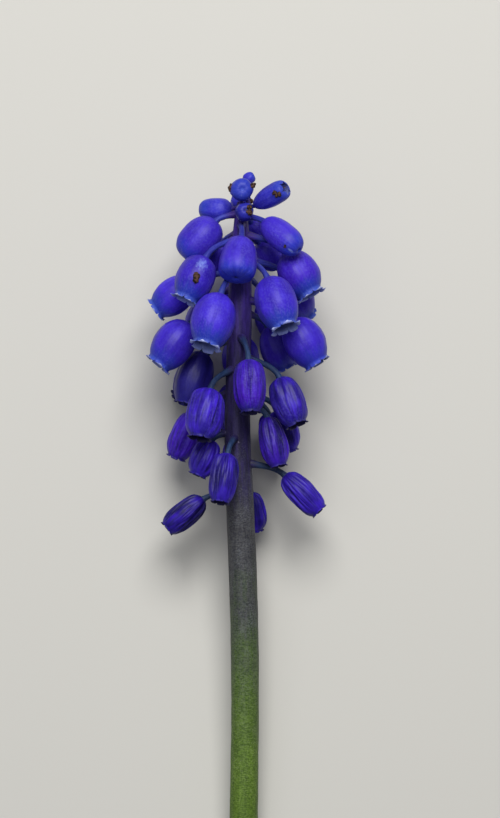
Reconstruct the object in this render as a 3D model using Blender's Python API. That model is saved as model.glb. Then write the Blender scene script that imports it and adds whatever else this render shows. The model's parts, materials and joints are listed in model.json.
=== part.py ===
"""A grape hyacinth, cut and laid on its back: one flower stem with its head of small hanging bells.

The flower is worked out as it grew, in a plant frame: X to its right, Y up the stem from the cut and
Z towards its front. An empty then lays it down, so that Y runs along the surface towards the tip. It
rests on the lower edge of its cut end and on bells at the back of the head, all of them at z = 0.
"""
import math
from collections import namedtuple

import bmesh
import bpy
import numpy as np
from mathutils import Matrix, Vector

MM = 0.001

# The stem from its cut to its tip: height above the cut, drift to the right, radius, in millimetres
STEM_COURSE = (
    (0.0, 0.10, 1.44),
    (12.0, 0.25, 1.43),
    (22.0, 0.40, 1.41),
    (32.0, 0.50, 1.38),
    (41.0, 0.38, 1.40),
    (50.0, 0.05, 1.40),
    (56.0, -0.20, 1.33),
    (60.0, -0.25, 1.26),
    (70.0, -0.05, 1.22),
    (76.0, 0.08, 1.00),
    (79.5, 0.10, 0.72),
    (81.6, 0.12, 0.40),
)
STEM_SIDES = 12
STEM_RINGS = 17
RING_CROWDING = 1.25  # above 1, the stem's rings stand closer together towards its tip
LAID_TILT = math.radians(6.0)

# Stalks that carry the bells
STALK_SIDES = 6
STALK_STEPS = 5
STALK_RADIUS = 0.30 * MM
BUD_STALK_RADIUS = 0.22 * MM
STALK_FLARE = 1.45  # how much thicker a stalk is where it leaves the stem
FLARE_FALL = 4  # power by which that flare falls off along the stalk
ROOT_DEPTH = 0.55  # share of the stem's radius at which a stalk starts inside it
HIGHEST_ROOT = STEM_COURSE[-1][0] - 0.4
LEAST_REACH = 0.2 * MM  # a bell this close to the stem, or closer, counts as this far off
SAG_SHARE = 0.45  # share of a bell's droop that sets how far above its bell a stalk starts
LEAVING_SHARE = 0.25  # share of a bell's droop at which its stalk leaves the stem

# What parts a bell from its stalk's end, without and with the hollow in the bell's base
JOINT_GAP = 0.3 * MM
DIMPLED_JOINT_GAP = 0.15 * MM
DIMPLE_DEPTH = 0.35 * MM
DIMPLE_RADIUS = 0.64 * MM
SMALLEST_DIMPLED_WIDTH = 2.6
BELL_SIDES = 12
RIB_DEPTH = 0.07  # share of a faded bell's half width by which its ridges stand out and its grooves sink

# A bell's outline from base to mouth, as (share of its length, share of its half width). Then come the
# six teeth with the notches between them, the inner edge of the mouth and the bottom of the throat.
Outline = namedtuple("Outline", "wall tooth notch lip throat ribbed")
OUTLINES = {
    "bud": Outline(((0.10, 0.55), (0.27, 0.88), (0.52, 1.00), (0.76, 0.84)), (0.99, 0.40), (0.95, 0.42),
                   (0.95, 0.18), 0.91, False),
    "closed_bell": Outline(((0.05, 0.52), (0.17, 0.81), (0.42, 1.00), (0.68, 0.94), (0.87, 0.70)),
                           (1.00, 0.44), (0.96, 0.47), (0.95, 0.24), 0.89, False),
    "open_bell": Outline(((0.05, 0.50), (0.16, 0.79), (0.39, 0.99), (0.64, 0.99), (0.85, 0.79)),
                         (1.00, 0.83), (0.94, 0.69), (0.93, 0.47), 0.80, False),
    "faded_bell": Outline(((0.04, 0.50), (0.14, 0.79), (0.38, 0.98), (0.69, 0.98), (0.90, 0.80)),
                          (1.00, 0.62), (0.95, 0.68), (0.95, 0.42), 0.86, True),
}

# Every bell: its stage; where its base is, as degrees round the stem from the front towards the right,
# height above the cut and distance out from the stem's middle; how far it hangs below level and how far
# it turns aside, in degrees; and its length and width. Lengths are in millimetres.
Bell = namedtuple("Bell", "stage around height out droop turn length width")
BELLS = (
    # The tip
    Bell("bud", 90, 83.7, 0.2, -25, 0, 1.25, 1.2),
    Bell("bud", 2, 82.75, 1.0, 0, 0, 2.4, 2.35),
    Bell("bud", 55, 81.2, 1.6, -24, 0, 4.3, 2.2),
    Bell("bud", 8, 80.3, 1.3, -12, 0, 2.1, 1.85),
    Bell("bud", -138, 80.95, 1.3, 2, 30, 3.45, 2.35),
    Bell("bud", 180, 82.3, 1.7, 32, 0, 2.8, 2.2),
    # The closed bells below it
    Bell("closed_bell", -82, 79.7, 2.5, 48, -12, 4.9, 4.0),
    Bell("closed_bell", 52, 79.6, 2.9, 35, 7, 5.0, 2.9),
    Bell("closed_bell", 163, 79.7, 3.2, 30, -20, 3.6, 2.6),
    Bell("closed_bell", -174, 76.5, 4.1, 44, 0, 3.7, 2.8),
    Bell("closed_bell", 1, 77.9, 3.6, 62, -16, 4.6, 3.85),
    Bell("closed_bell", 139, 77.6, 2.8, 44, -13, 3.4, 2.7),
    Bell("closed_bell", -143, 77.8, 2.7, 48, 7, 4.0, 3.0),
    # The open bells at the widest part
    Bell("open_bell", -49, 76.0, 4.6, 61, -20, 4.8, 3.95),
    Bell("open_bell", 85, 76.6, 4.5, 57, -12, 5.1, 4.2),
    Bell("open_bell", -96, 73.6, 4.8, 35, 0, 4.7, 3.7),
    Bell("open_bell", 34, 73.9, 4.8, 62, 10, 5.7, 4.2),
    Bell("open_bell", 115, 74.1, 5.2, 53, 25, 4.8, 3.6),
    Bell("open_bell", -20, 72.3, 5.6, 67, -25, 5.7, 4.4),
    Bell("open_bell", -173, 73.0, 3.5, 42, 6, 4.6, 3.8),
    Bell("open_bell", 155, 72.0, 6.0, 58, -22, 4.8, 3.8),
    Bell("open_bell", -125, 71.8, 3.4, 60, 0, 4.6, 3.6),
    Bell("open_bell", -74, 69.4, 5.1, 50, -7, 5.3, 4.2),
    Bell("open_bell", 78, 69.8, 5.3, 58, 5, 5.2, 4.2),
    Bell("open_bell", 180, 68.1, 4.4, 60, -8, 4.9, 3.8),
    Bell("open_bell", 130, 69.2, 3.7, 62, -16, 4.7, 3.6),
    Bell("open_bell", -103, 66.6, 3.7, 70, 32, 5.8, 3.75),
    # The bells that have begun to fade
    Bell("faded_bell", -143, 66.0, 5.8, 50, 8, 4.9, 3.7),
    Bell("faded_bell", 13, 65.8, 4.5, 78, 0, 5.3, 3.3),
    Bell("faded_bell", 60, 64.0, 4.8, 66, 0, 5.0, 3.6),
    Bell("faded_bell", -38, 62.9, 4.4, 71, -4, 5.1, 3.9),
    Bell("faded_bell", -170, 63.1, 3.6, 54, -8, 5.0, 3.4),
    Bell("faded_bell", -114, 60.5, 4.7, 66, 12, 4.9, 3.2),
    Bell("faded_bell", 103, 60.8, 4.1, 71, 10, 4.3, 3.0),
    Bell("faded_bell", 138, 60.4, 4.6, 63, 20, 4.9, 2.8),
    Bell("faded_bell", -80, 57.8, 2.6, 66, 0, 3.8, 3.0),
    Bell("faded_bell", 64, 60.1, 3.3, 74, -3, 5.1, 2.8),
    Bell("faded_bell", -16, 56.5, 3.6, 74, -20, 5.1, 3.0),
    Bell("faded_bell", -176, 57.8, 4.1, 62, -12, 4.8, 2.9),
    Bell("faded_bell", 86, 54.3, 4.6, 45, 0, 5.1, 3.0),
    Bell("faded_bell", -88, 51.9, 3.6, 38, 0, 4.8, 2.8),
    Bell("faded_bell", 156, 52.5, 2.8, 72, 2, 4.0, 2.8),
)

# The bells that the head lies on, one to each side and one behind, besides the cut end of the stem
BEARING_BELLS = ("open_bell_08", "faded_bell_01", "faded_bell_12")

# Colour, roughness and metallic value of each material
FINISHES = {
    "stem": ((0.085, 0.085, 0.060), 0.55, 0.0),
    "bud": ((0.055, 0.045, 0.370), 0.45, 0.0),
    "closed_bell": ((0.070, 0.035, 0.450), 0.42, 0.0),
    "open_bell": ((0.075, 0.035, 0.460), 0.42, 0.0),
    "faded_bell": ((0.050, 0.022, 0.360), 0.50, 0.0),
}


def material(name):
    """The plain material of one kind of piece."""
    colour, roughness, metallic = FINISHES[name]
    made = bpy.data.materials.new(name)
    made.use_nodes = True
    made.diffuse_color = (*colour, 1.0)
    shader = made.node_tree.nodes["Principled BSDF"]
    shader.inputs["Base Color"].default_value = (*colour, 1.0)
    shader.inputs["Roughness"].default_value = roughness
    shader.inputs["Metallic"].default_value = metallic
    return made


def add_object(name, mesh, finish, parent):
    """One named sub-part of the flower."""
    mesh.materials.append(finish)
    mesh.shade_smooth()
    piece = bpy.data.objects.new(name, mesh)
    bpy.context.scene.collection.objects.link(piece)
    piece.parent = parent
    return piece


def read_course(column, height):
    """The stem's drift (column 1) or radius (column 2) at a height in millimetres, on a smooth curve."""
    heights = np.array([row[0] for row in STEM_COURSE])
    values = np.array([row[column] for row in STEM_COURSE])
    slopes = np.gradient(values, heights)
    place = min(max(height, heights[0]), heights[-1])
    i = int(np.clip(np.searchsorted(heights, place) - 1, 0, len(heights) - 2))
    span = heights[i + 1] - heights[i]
    t = (place - heights[i]) / span
    level = values[i] * (1 + 2 * t) * (1 - t) ** 2 + values[i + 1] * t * t * (3 - 2 * t)
    return float(level + span * (slopes[i] * t * (1 - t) ** 2 - slopes[i + 1] * t * t * (1 - t)))


def stem_middle(height):
    """The middle of the stem at a height in millimetres, in the plant frame."""
    return Vector((read_course(1, height) * MM, height * MM, 0.0))


def outward(around):
    """The level direction that leaves the stem at an angle round it, in degrees from the front."""
    angle = math.radians(around)
    return Vector((math.sin(angle), 0.0, math.cos(angle)))


def hanging(around, droop):
    """The direction of a bell from base to mouth."""
    angle = math.radians(droop)
    return outward(around) * math.cos(angle) - Vector((0.0, math.sin(angle), 0.0))


def tube(mesh_name, middles, radii, sides, across=None):
    """A closed tube through a row of points, its rings turned smoothly from one to the next."""
    shape = bmesh.new()
    rings = []
    for i, middle in enumerate(middles):
        before = middles[max(i - 1, 0)]
        after = middles[min(i + 1, len(middles) - 1)]
        along = (after - before).normalized()
        seed = across if across else along.orthogonal()
        across = (seed - along * seed.dot(along)).normalized()
        beside = along.cross(across)
        corners = []
        for k in range(sides):
            angle = math.tau * k / sides
            spoke = across * math.cos(angle) + beside * math.sin(angle)
            corners.append(shape.verts.new(middle + spoke * radii[i]))
        rings.append(corners)
    for low, high in zip(rings, rings[1:]):
        for k in range(sides):
            n = (k + 1) % sides
            shape.faces.new((low[k], low[n], high[n], high[k]))
    shape.faces.new(reversed(rings[0]))
    shape.faces.new(rings[-1])
    mesh = bpy.data.meshes.new(mesh_name)
    shape.to_mesh(mesh)
    shape.free()
    return mesh


def stem_mesh():
    """The bare stem, from its flat cut to its narrow tip."""
    top = STEM_COURSE[-1][0]
    heights = [top * (1 - (1 - i / STEM_RINGS) ** RING_CROWDING) for i in range(STEM_RINGS + 1)]
    middles = [stem_middle(height) for height in heights]
    radii = [read_course(2, height) * MM for height in heights]
    half_side = math.pi / STEM_SIDES
    return tube("stem", middles, radii, STEM_SIDES, Vector((math.cos(half_side), 0.0, math.sin(half_side))))


def has_dimple(bell):
    return bell.width >= SMALLEST_DIMPLED_WIDTH


def bell_mesh(name, bell):
    """One bell, its base at the origin and its mouth towards +Z, with a hollow where the stalk ends."""
    outline = OUTLINES[bell.stage]
    length = bell.length * MM
    half = bell.width * MM / 2
    shape = bmesh.new()

    def ring(along, across, odd_along=None, odd_across=None, ribbed=False):
        """Twelve corners; the odd ones may lie elsewhere than the even ones, which carry the teeth."""
        corners = []
        for k in range(BELL_SIDES):
            odd = k % 2 == 1
            z = odd_along if odd and odd_along is not None else along
            r = odd_across if odd and odd_across is not None else across
            if ribbed:
                r *= 1 - RIB_DEPTH if odd else 1 + RIB_DEPTH
            angle = math.tau * k / BELL_SIDES
            corners.append(shape.verts.new((r * math.cos(angle), r * math.sin(angle), z)))
        return corners

    rings = []
    if has_dimple(bell):
        bottom = shape.verts.new((0.0, 0.0, DIMPLE_DEPTH))
        rings.append(ring(0.0, DIMPLE_RADIUS))
    else:
        bottom = shape.verts.new((0.0, 0.0, 0.0))
    for along, across in outline.wall:
        rings.append(ring(along * length, across * half, ribbed=outline.ribbed))
    tooth, notch, lip = outline.tooth, outline.notch, outline.lip
    rings.append(ring(tooth[0] * length, tooth[1] * half, notch[0] * length, notch[1] * half))
    rings.append(ring(lip[0] * length, lip[1] * half))
    throat = shape.verts.new((0.0, 0.0, outline.throat * length))
    for low, high in zip(rings, rings[1:]):
        for k in range(BELL_SIDES):
            n = (k + 1) % BELL_SIDES
            shape.faces.new((low[k], low[n], high[n], high[k]))
    for k in range(BELL_SIDES):
        n = (k + 1) % BELL_SIDES
        shape.faces.new((rings[0][n], rings[0][k], bottom))
        shape.faces.new((rings[-1][k], rings[-1][n], throat))
    bmesh.ops.triangulate(shape, faces=shape.faces[:])
    mesh = bpy.data.meshes.new(name)
    shape.to_mesh(mesh)
    shape.free()
    return mesh


def bell_place(bell):
    """Where a bell grows in the plant frame: its base, and its turn out and down from the stem."""
    axis = hanging(bell.around + bell.turn, bell.droop)
    level = outward(bell.around + bell.turn + 90)
    base = stem_middle(bell.height) + outward(bell.around) * bell.out * MM
    turn = Matrix((level, axis.cross(level), axis)).transposed()
    return Matrix.Translation(base) @ turn.to_4x4()


def laid_down():
    """From the plant frame to the surface: tipped back, with the lower edge of the cut at z = 0."""
    tip = Matrix.Rotation(LAID_TILT, 4, "X")
    edge = STEM_COURSE[0][2] * MM * math.cos(math.pi / STEM_SIDES) * math.cos(LAID_TILT)
    return Matrix.Translation((0.0, 0.0, edge)) @ tip


def settled(name, place, mesh):
    """The place of a bell on the surface: those that bear the head touch it, and none sinks into it."""
    down = laid_down()
    lowest = min((down @ place @ vertex.co).z for vertex in mesh.vertices)
    if lowest >= 0 and name not in BEARING_BELLS:
        return place
    lift = down.to_3x3().inverted() @ Vector((0.0, 0.0, -lowest))
    return Matrix.Translation(lift) @ place


def stalk_mesh(name, bell, place):
    """The stalk of one bell: out of the stem, over in a bow and straight into the bell's base."""
    radius = STALK_RADIUS if has_dimple(bell) else BUD_STALK_RADIUS
    axis = place.col[2].to_3d()
    end = place.translation - axis * (DIMPLED_JOINT_GAP if has_dimple(bell) else JOINT_GAP)
    height = end.y / MM
    sideways = end - stem_middle(height)
    sideways.y = 0.0
    around = math.degrees(math.atan2(sideways.x, sideways.z))
    reach = max(sideways.length - read_course(2, height) * MM, LEAST_REACH)
    droop = math.degrees(math.asin(max(-1.0, min(1.0, -axis.y))))
    root_height = height + reach / MM * math.tan(math.radians(droop * SAG_SHARE))
    root_height = min(root_height, HIGHEST_ROOT)
    stem_radius = read_course(2, root_height) * MM
    middle = stem_middle(root_height)
    root = middle + outward(around) * stem_radius
    pull = (end - root).length
    leave = hanging(around, droop * LEAVING_SHARE) * pull
    arrive = axis * pull
    middles = [middle + outward(around) * stem_radius * ROOT_DEPTH]
    radii = [radius * STALK_FLARE]
    for i in range(STALK_STEPS + 1):
        t = i / STALK_STEPS
        middles.append(root * (1 + 2 * t) * (1 - t) ** 2 + end * t * t * (3 - 2 * t)
                       + leave * t * (1 - t) ** 2 - arrive * t * t * (1 - t))
        radii.append(radius * (1 + (STALK_FLARE - 1) * (1 - t) ** FLARE_FALL))
    return tube(name, middles, radii, STALK_SIDES)


def join_stalks(stem, meshes):
    """Fuses every stalk into the stem, so that they are one body."""
    group = bpy.data.collections.new("stalks")
    bpy.context.scene.collection.children.link(group)
    for mesh in meshes:
        group.objects.link(bpy.data.objects.new(mesh.name, mesh))
    union = stem.modifiers.new("stalks", "BOOLEAN")
    union.operation = "UNION"
    union.operand_type = "COLLECTION"
    union.collection = group
    union.solver = "EXACT"
    joined = bpy.data.meshes.new_from_object(stem.evaluated_get(bpy.context.evaluated_depsgraph_get()))
    stem.modifiers.clear()
    stem.data = joined
    for stalk in list(group.objects):
        bpy.data.objects.remove(stalk)
    bpy.data.collections.remove(group)


def origin_shift(pieces):
    """How far to slide the laid flower so that the origin is under the middle of its box."""
    down = laid_down()
    corners = np.array([down @ piece.matrix_basis @ v.co for piece in pieces for v in piece.data.vertices])
    middle = (corners.min(axis=0) + corners.max(axis=0)) / 2
    return Vector((-middle[0], -middle[1], 0.0))


def build_flower():
    """Builds the whole flower under one empty."""
    for leftover in list(bpy.data.objects):
        bpy.data.objects.remove(leftover)
    finishes = {name: material(name) for name in FINISHES}
    flower = bpy.data.objects.new("flower", None)
    bpy.context.scene.collection.objects.link(flower)

    pieces = []
    stalks = []
    count = dict.fromkeys(OUTLINES, 0)
    for bell in BELLS:
        count[bell.stage] += 1
        name = f"{bell.stage}_{count[bell.stage]:02d}"
        mesh = bell_mesh(name, bell)
        place = settled(name, bell_place(bell), mesh)
        piece = add_object(name, mesh, finishes[bell.stage], flower)
        piece.matrix_basis = place
        pieces.append(piece)
        stalks.append(stalk_mesh(f"stalk_{len(pieces):02d}", bell, place))

    stem = add_object("stem", stem_mesh(), finishes["stem"], flower)
    join_stalks(stem, stalks)
    pieces.append(stem)
    flower.matrix_basis = Matrix.Translation(origin_shift(pieces)) @ laid_down()
    bpy.context.view_layer.update()


build_flower()
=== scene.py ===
"""The looks of the grape hyacinth: fine bells, stalks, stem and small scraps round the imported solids.

The plant frame is the one that the flower grew in: X to its right, Y up the stem from the cut and Z
towards its front, in metres. The flower lies on its back, so that frame is tipped back on the floor.
"""

import json
import math
from collections import namedtuple

import bmesh
import bpy
from mathutils import Matrix, Vector

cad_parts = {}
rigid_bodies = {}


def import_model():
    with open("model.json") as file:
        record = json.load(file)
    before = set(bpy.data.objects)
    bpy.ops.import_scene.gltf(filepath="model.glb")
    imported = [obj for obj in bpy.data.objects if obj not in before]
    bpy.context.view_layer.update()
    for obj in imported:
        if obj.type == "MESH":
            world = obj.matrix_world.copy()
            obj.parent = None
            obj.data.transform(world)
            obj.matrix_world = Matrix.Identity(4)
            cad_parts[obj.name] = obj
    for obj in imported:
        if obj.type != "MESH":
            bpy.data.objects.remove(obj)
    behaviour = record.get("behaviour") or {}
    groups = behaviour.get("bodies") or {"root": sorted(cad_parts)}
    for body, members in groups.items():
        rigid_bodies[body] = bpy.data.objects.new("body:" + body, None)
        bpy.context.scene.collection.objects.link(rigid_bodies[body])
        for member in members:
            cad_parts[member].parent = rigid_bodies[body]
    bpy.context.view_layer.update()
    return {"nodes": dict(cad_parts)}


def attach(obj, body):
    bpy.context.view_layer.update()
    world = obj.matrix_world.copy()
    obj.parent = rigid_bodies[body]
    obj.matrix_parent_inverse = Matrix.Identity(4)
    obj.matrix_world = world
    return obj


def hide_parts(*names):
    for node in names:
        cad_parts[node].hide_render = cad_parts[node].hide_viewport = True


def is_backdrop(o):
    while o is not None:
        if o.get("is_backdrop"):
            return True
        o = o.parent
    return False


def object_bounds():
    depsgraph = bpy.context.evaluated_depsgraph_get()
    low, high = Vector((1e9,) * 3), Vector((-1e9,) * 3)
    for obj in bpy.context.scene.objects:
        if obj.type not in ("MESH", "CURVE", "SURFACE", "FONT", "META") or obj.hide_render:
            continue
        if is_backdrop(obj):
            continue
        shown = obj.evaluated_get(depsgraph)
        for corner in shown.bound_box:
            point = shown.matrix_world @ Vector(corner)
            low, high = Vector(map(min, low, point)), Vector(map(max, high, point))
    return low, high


MM = 0.001

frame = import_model()

# The stem from its cut to its tip: height above the cut, drift to the right, radius, in millimetres
STEM_COURSE = (
    (0.0, 0.10, 1.44),
    (12.0, 0.25, 1.43),
    (22.0, 0.40, 1.41),
    (32.0, 0.50, 1.38),
    (41.0, 0.38, 1.40),
    (50.0, 0.05, 1.40),
    (56.0, -0.20, 1.33),
    (60.0, -0.25, 1.26),
    (70.0, -0.05, 1.22),
    (76.0, 0.08, 1.00),
    (79.5, 0.10, 0.72),
    (81.6, 0.12, 0.40),
)
LAID_TILT = math.radians(6.0)
CUT_SLICE = 1.0  # how far from its end the stem is read for the middle of the cut
UP = Vector((0.0, 1.0, 0.0))  # up the stem, in the plant frame
SAME_POINT = 0.001 * MM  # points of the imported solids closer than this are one

# Stalks that carry the bells
STALK_RADIUS = 0.30
BUD_STALK_RADIUS = 0.22
STALK_FLARE = 0.6  # how much thicker a stalk is where it leaves the stem, as a share
STALK_CUP = 0.35  # how much it widens again under the bell
STALK_SLIMMED = 0.88  # the fine stalk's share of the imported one's radius half way along
ROOT_DEPTH = 0.55
HIGHEST_ROOT = STEM_COURSE[-1][0] - 0.4
LEAST_REACH = 0.2
STALK_SUNK, BUD_STALK_SUNK = 0.12, 0.05  # how far a stalk's end goes into its bell
SAG_SHARE = 0.45
LEAVING_SHARE = 0.25
STALK_POINTS, STEM_POINTS = 12, 60

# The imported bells, and the fine bells' wall
DIMPLE_DEPTH = 0.35  # how far a stalk's end is sunk in its bell's base
SMALLEST_DIMPLED_HALF_WIDTH = 1.3
READING_SLACK = 0.02  # how much narrower a bell may read than it was made
RIB_DEPTH = 0.07  # as a share of a faded bell's half width
WALL_THICKNESS = 0.13
TEETH = 6

# How far some open bells have gone towards fading, and what else sets single bells apart
AGED = {"bud_04": 0.8, "open_bell_10": 0.3, "open_bell_11": 0.45, "open_bell_13": 0.5,
        "open_bell_14": 1.0}
# The spent look of open_bell_14 is darker than its age alone makes it, as painted shade for the bells that
# hang over it
OWN_LOOKS = {"bud_03": "opened_bud", "closed_bell_05": "blunt_bell", "open_bell_14": "spent_shaded_bell"}
REDDER = {"open_bell_02": 0.4, "faded_bell_02": 0.8, "faded_bell_06": 0.7, "faded_bell_10": 0.5}
WIDEST_LOW = {"open_bell_02": 1.12, "open_bell_13": 1.15}

# The height below which faded bells shrivel, and over how much height they do so fully
FIRST_WITHERED, WITHERED_SPAN = 66.5, 13.0

HIGHLIGHT_MARK_DEPTH = 1.5  # how far in depth each painted highlight and pale mark reaches
ABOVE_ALL = 40.0  # a place in front of every bell, in the plant frame

# What an open bell holds: how far along it the pollen sacs and the seed case sit, as shares of its
# length, and how far out the sacs are, as a share of its half width
STAMENS = 6
STAMEN_REACH = {"opened_bud": 0.86, "open_bell": 0.66, "spent_shaded_bell": 0.66, "faded_bell": 0.70}
STAMEN_UNEVEN = 0.03
STAMEN_RING = 0.36
STAMEN_LEAN = 0.25  # how much a stamen leans towards the middle
PISTIL_REACH = 0.30

# The scales beside the stalks: half sizes, how high the first sits and how much lower the next ones do, in
# millimetres, and how far round the stem they are from their stalk, as a share of its radius
SCALE_HALF_SIZES = (0.16, 0.13, 0.12)
SCALE_RISE, SCALE_STEP, SCALE_ASIDE = 0.10, 0.22, 0.42

TEETH_LOST = 0.4  # the share of the teeth's length that age takes

# Withered scraps: drift to the right, height, width, length and thickness
SCRAPS = (
    (-0.95, 82.95, 0.55, 0.80, 0.45),
    (1.20, 83.10, 0.50, 0.50, 0.95),
    (1.00, 81.80, 0.80, 0.45, 0.50),
    (0.92, 80.90, 0.60, 0.50, 0.50),
    (0.95, 80.45, 0.55, 0.75, 0.45),
    (3.45, 82.40, 0.60, 0.40, 0.35),
    (3.85, 82.25, 0.50, 0.45, 0.35),
    (3.60, 82.10, 0.30, 0.35, 0.25),
    (-4.30, 74.10, 0.75, 0.60, 0.60),
    (-4.35, 73.75, 0.70, 0.60, 0.70),
    (4.50, 77.00, 0.36, 0.30, 0.16),
)
# Pale marks on the bells, most of them painted highlights and one the pale slit of a mouth: drift to the
# right, height, half their width and length, lean and how clear they are
HIGHLIGHTS_AND_PALE_MARKS = (
    (-3.75, 75.30, 1.00, 1.35, 15, 0.66),
    (-3.55, 77.90, 0.28, 0.95, 40, 0.35),
    (3.60, 78.20, 0.24, 1.10, -38, 0.45),
    (3.15, 72.90, 0.20, 0.80, -12, 0.35),
    (5.05, 76.60, 0.20, 0.55, -50, 0.90),
    (0.10, 82.10, 0.35, 0.25, 0, 0.45),
)

# A bell's side view from its base to the last of its wall: share of its length, share of its half width
OUTLINES = {
    "bud": ((0, 0), (0.005, 0.18), (0.03, 0.36), (0.10, 0.62), (0.27, 0.92), (0.52, 1.00), (0.78, 0.92),
            (0.92, 0.70), (0.985, 0.44), (0.985, 0.26), (0.96, 0.12), (0.95, 0)),
    "opened_bud": ((0, 0), (0.005, 0.18), (0.03, 0.34), (0.12, 0.60), (0.32, 0.88), (0.58, 1.00),
                   (0.80, 0.98), (0.92, 0.86)),
    "closed_bell": ((0, 0), (0.004, 0.18), (0.02, 0.36), (0.06, 0.55), (0.17, 0.80), (0.42, 0.99),
                    (0.68, 0.99), (0.87, 0.81), (0.96, 0.58), (0.99, 0.38), (1.00, 0.22), (0.985, 0.13),
                    (0.95, 0.07), (0.93, 0)),
    "blunt_bell": ((0, 0), (0.004, 0.18), (0.02, 0.34), (0.06, 0.50), (0.17, 0.73), (0.42, 0.93),
                   (0.70, 1.00), (0.88, 0.93), (0.96, 0.74), (0.99, 0.50), (1.00, 0.22), (0.985, 0.13),
                   (0.95, 0.07), (0.93, 0)),
    "open_bell": ((0, 0), (0.003, 0.18), (0.02, 0.34), (0.055, 0.51), (0.16, 0.78), (0.36, 0.97),
                  (0.56, 1.00), (0.76, 0.87), (0.91, 0.65)),
    "faded_bell": ((0, 0), (0.003, 0.18), (0.015, 0.34), (0.045, 0.52), (0.14, 0.80), (0.38, 0.98),
                   (0.66, 0.98), (0.86, 0.82), (0.955, 0.62)),
}
OUTLINES["spent_shaded_bell"] = OUTLINES["open_bell"]
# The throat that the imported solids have, as a share of the length, by which their length is read
THROATS = {"bud": 0.91, "closed_bell": 0.89, "open_bell": 0.80, "faded_bell": 0.86}


# What the frame says


def merged(node):
    """A copy of a node's mesh as it lies on the floor, its loose triangles joined."""
    shape = bmesh.new()
    shape.from_mesh(frame["nodes"][node].data)
    bmesh.ops.remove_doubles(shape, verts=shape.verts, dist=SAME_POINT)
    return shape


def plant_frame():
    """From the plant frame to the floor: tipped back, with the middle of the cut where the stem has it."""
    shape = merged("stem")
    tip_back = Matrix.Rotation(LAID_TILT, 4, "X")
    heights = [vertex.co.dot(tip_back @ UP) for vertex in shape.verts]
    highest = min(heights) + CUT_SLICE * MM
    cut = [vertex.co.copy() for vertex, height in zip(shape.verts, heights) if height < highest]
    shape.free()
    middle = sum(cut, Vector()) / len(cut)
    drift = Matrix.Translation((-STEM_COURSE[0][1] * MM, 0.0, 0.0))
    return Matrix.Translation(middle) @ tip_back @ drift


PLANT = plant_frame()
INTO_PLANT = PLANT.inverted()


def eased(start, end, leave, arrive, t):
    """A smooth way from start to end, by the slopes that it leaves and arrives with."""
    return (start * (1 + 2 * t) * (1 - t) ** 2 + end * t * t * (3 - 2 * t)
            + leave * t * (1 - t) ** 2 - arrive * t * t * (1 - t))


def smooth_course(column, height):
    """The stem's drift (column 1) or radius (column 2) at a height, in millimetres."""
    rows = STEM_COURSE
    height = min(max(height, rows[0][0]), rows[-1][0])
    i = max(k for k in range(len(rows) - 1) if rows[k][0] <= height)

    def slope(k):
        low, high = rows[max(k - 1, 0)], rows[min(k + 1, len(rows) - 1)]
        return (high[column] - low[column]) / (high[0] - low[0])

    span = rows[i + 1][0] - rows[i][0]
    return eased(rows[i][column], rows[i + 1][column], span * slope(i), span * slope(i + 1),
                 (height - rows[i][0]) / span)


def stem_middle(height):
    """The middle of the stem at a height, in the plant frame, all in millimetres."""
    return Vector((smooth_course(1, height), height, 0.0))


def outward(around):
    """The level direction that leaves the stem at an angle round it, in degrees from the front."""
    angle = math.radians(around)
    return Vector((math.sin(angle), 0.0, math.cos(angle)))


class Bell:
    """One bell as the frame holds it: its base, direction and size in the plant frame, in millimetres."""

    def __init__(self, node):
        self.node = node
        self.stage = node[:-3]
        self.look = OWN_LOOKS.get(node, self.stage)
        shape = merged(node)
        shape.transform(INTO_PLANT)
        shape.transform(Matrix.Scale(1 / MM, 4))
        poles = sorted(shape.verts, key=lambda vertex: -len(vertex.link_edges))[:2]
        poles.sort(key=lambda vertex: (vertex.co - stem_middle(vertex.co.y)).length)
        bottom, throat = (vertex.co.copy() for vertex in poles)
        self.axis = (throat - bottom).normalized()
        self.level = UP.cross(self.axis).normalized()
        self.beside = self.axis.cross(self.level)
        reach = (throat - bottom).length
        spread = max((vertex.co - bottom).cross(self.axis).length for vertex in shape.verts)
        shape.free()
        self.half_width = spread / (1 + RIB_DEPTH) if self.stage == "faded_bell" else spread
        self.dimpled = self.half_width > SMALLEST_DIMPLED_HALF_WIDTH - READING_SLACK
        sunk = DIMPLE_DEPTH if self.dimpled else 0.0
        self.length = (reach + sunk) / THROATS[self.stage]
        self.base = bottom - self.axis * sunk
        withered = (FIRST_WITHERED - self.base.y) / WITHERED_SPAN if self.stage == "faded_bell" else 0.0
        self.age = AGED.get(node, min(max(withered, 0.0), 1.0))

    def place(self):
        """Takes a bell made at the origin, mouth towards +Z and topside towards +Y, to its place."""
        turn = Matrix((self.level, self.beside, self.axis)).transposed()
        return PLANT @ Matrix.Translation(self.base * MM) @ turn.to_4x4()


BELLS = [Bell(node) for node in sorted(frame["nodes"]) if node != "stem"]


# Node trees


class Field:
    """A value that a node tree works out. Sums and products of fields add the nodes for them."""

    def __init__(self, tree, socket):
        self.tree = tree
        self.socket = socket

    def op(self, operation, *others):
        made = self.tree.add("ShaderNodeMath", dict(enumerate((self, *others))), operation=operation)
        return Field(self.tree, made.outputs[0])

    def __add__(self, other):
        return self.op("ADD", other)

    __radd__ = __add__

    def __sub__(self, other):
        return self.op("SUBTRACT", other)

    def __rsub__(self, other):
        return (self * -1.0).op("ADD", other)

    def __mul__(self, other):
        return self.op("MULTIPLY", other)

    __rmul__ = __mul__

    def __truediv__(self, other):
        return self.op("DIVIDE", other)

    def __pow__(self, other):
        return self.op("POWER", other)

    def between(self, low, high):
        """0 below low, 1 above high, and smooth in between."""
        made = self.tree.add("ShaderNodeMapRange", {0: self, 1: low, 2: high},
                             interpolation_type="SMOOTHSTEP")
        return Field(self.tree, made.outputs[0])


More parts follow.
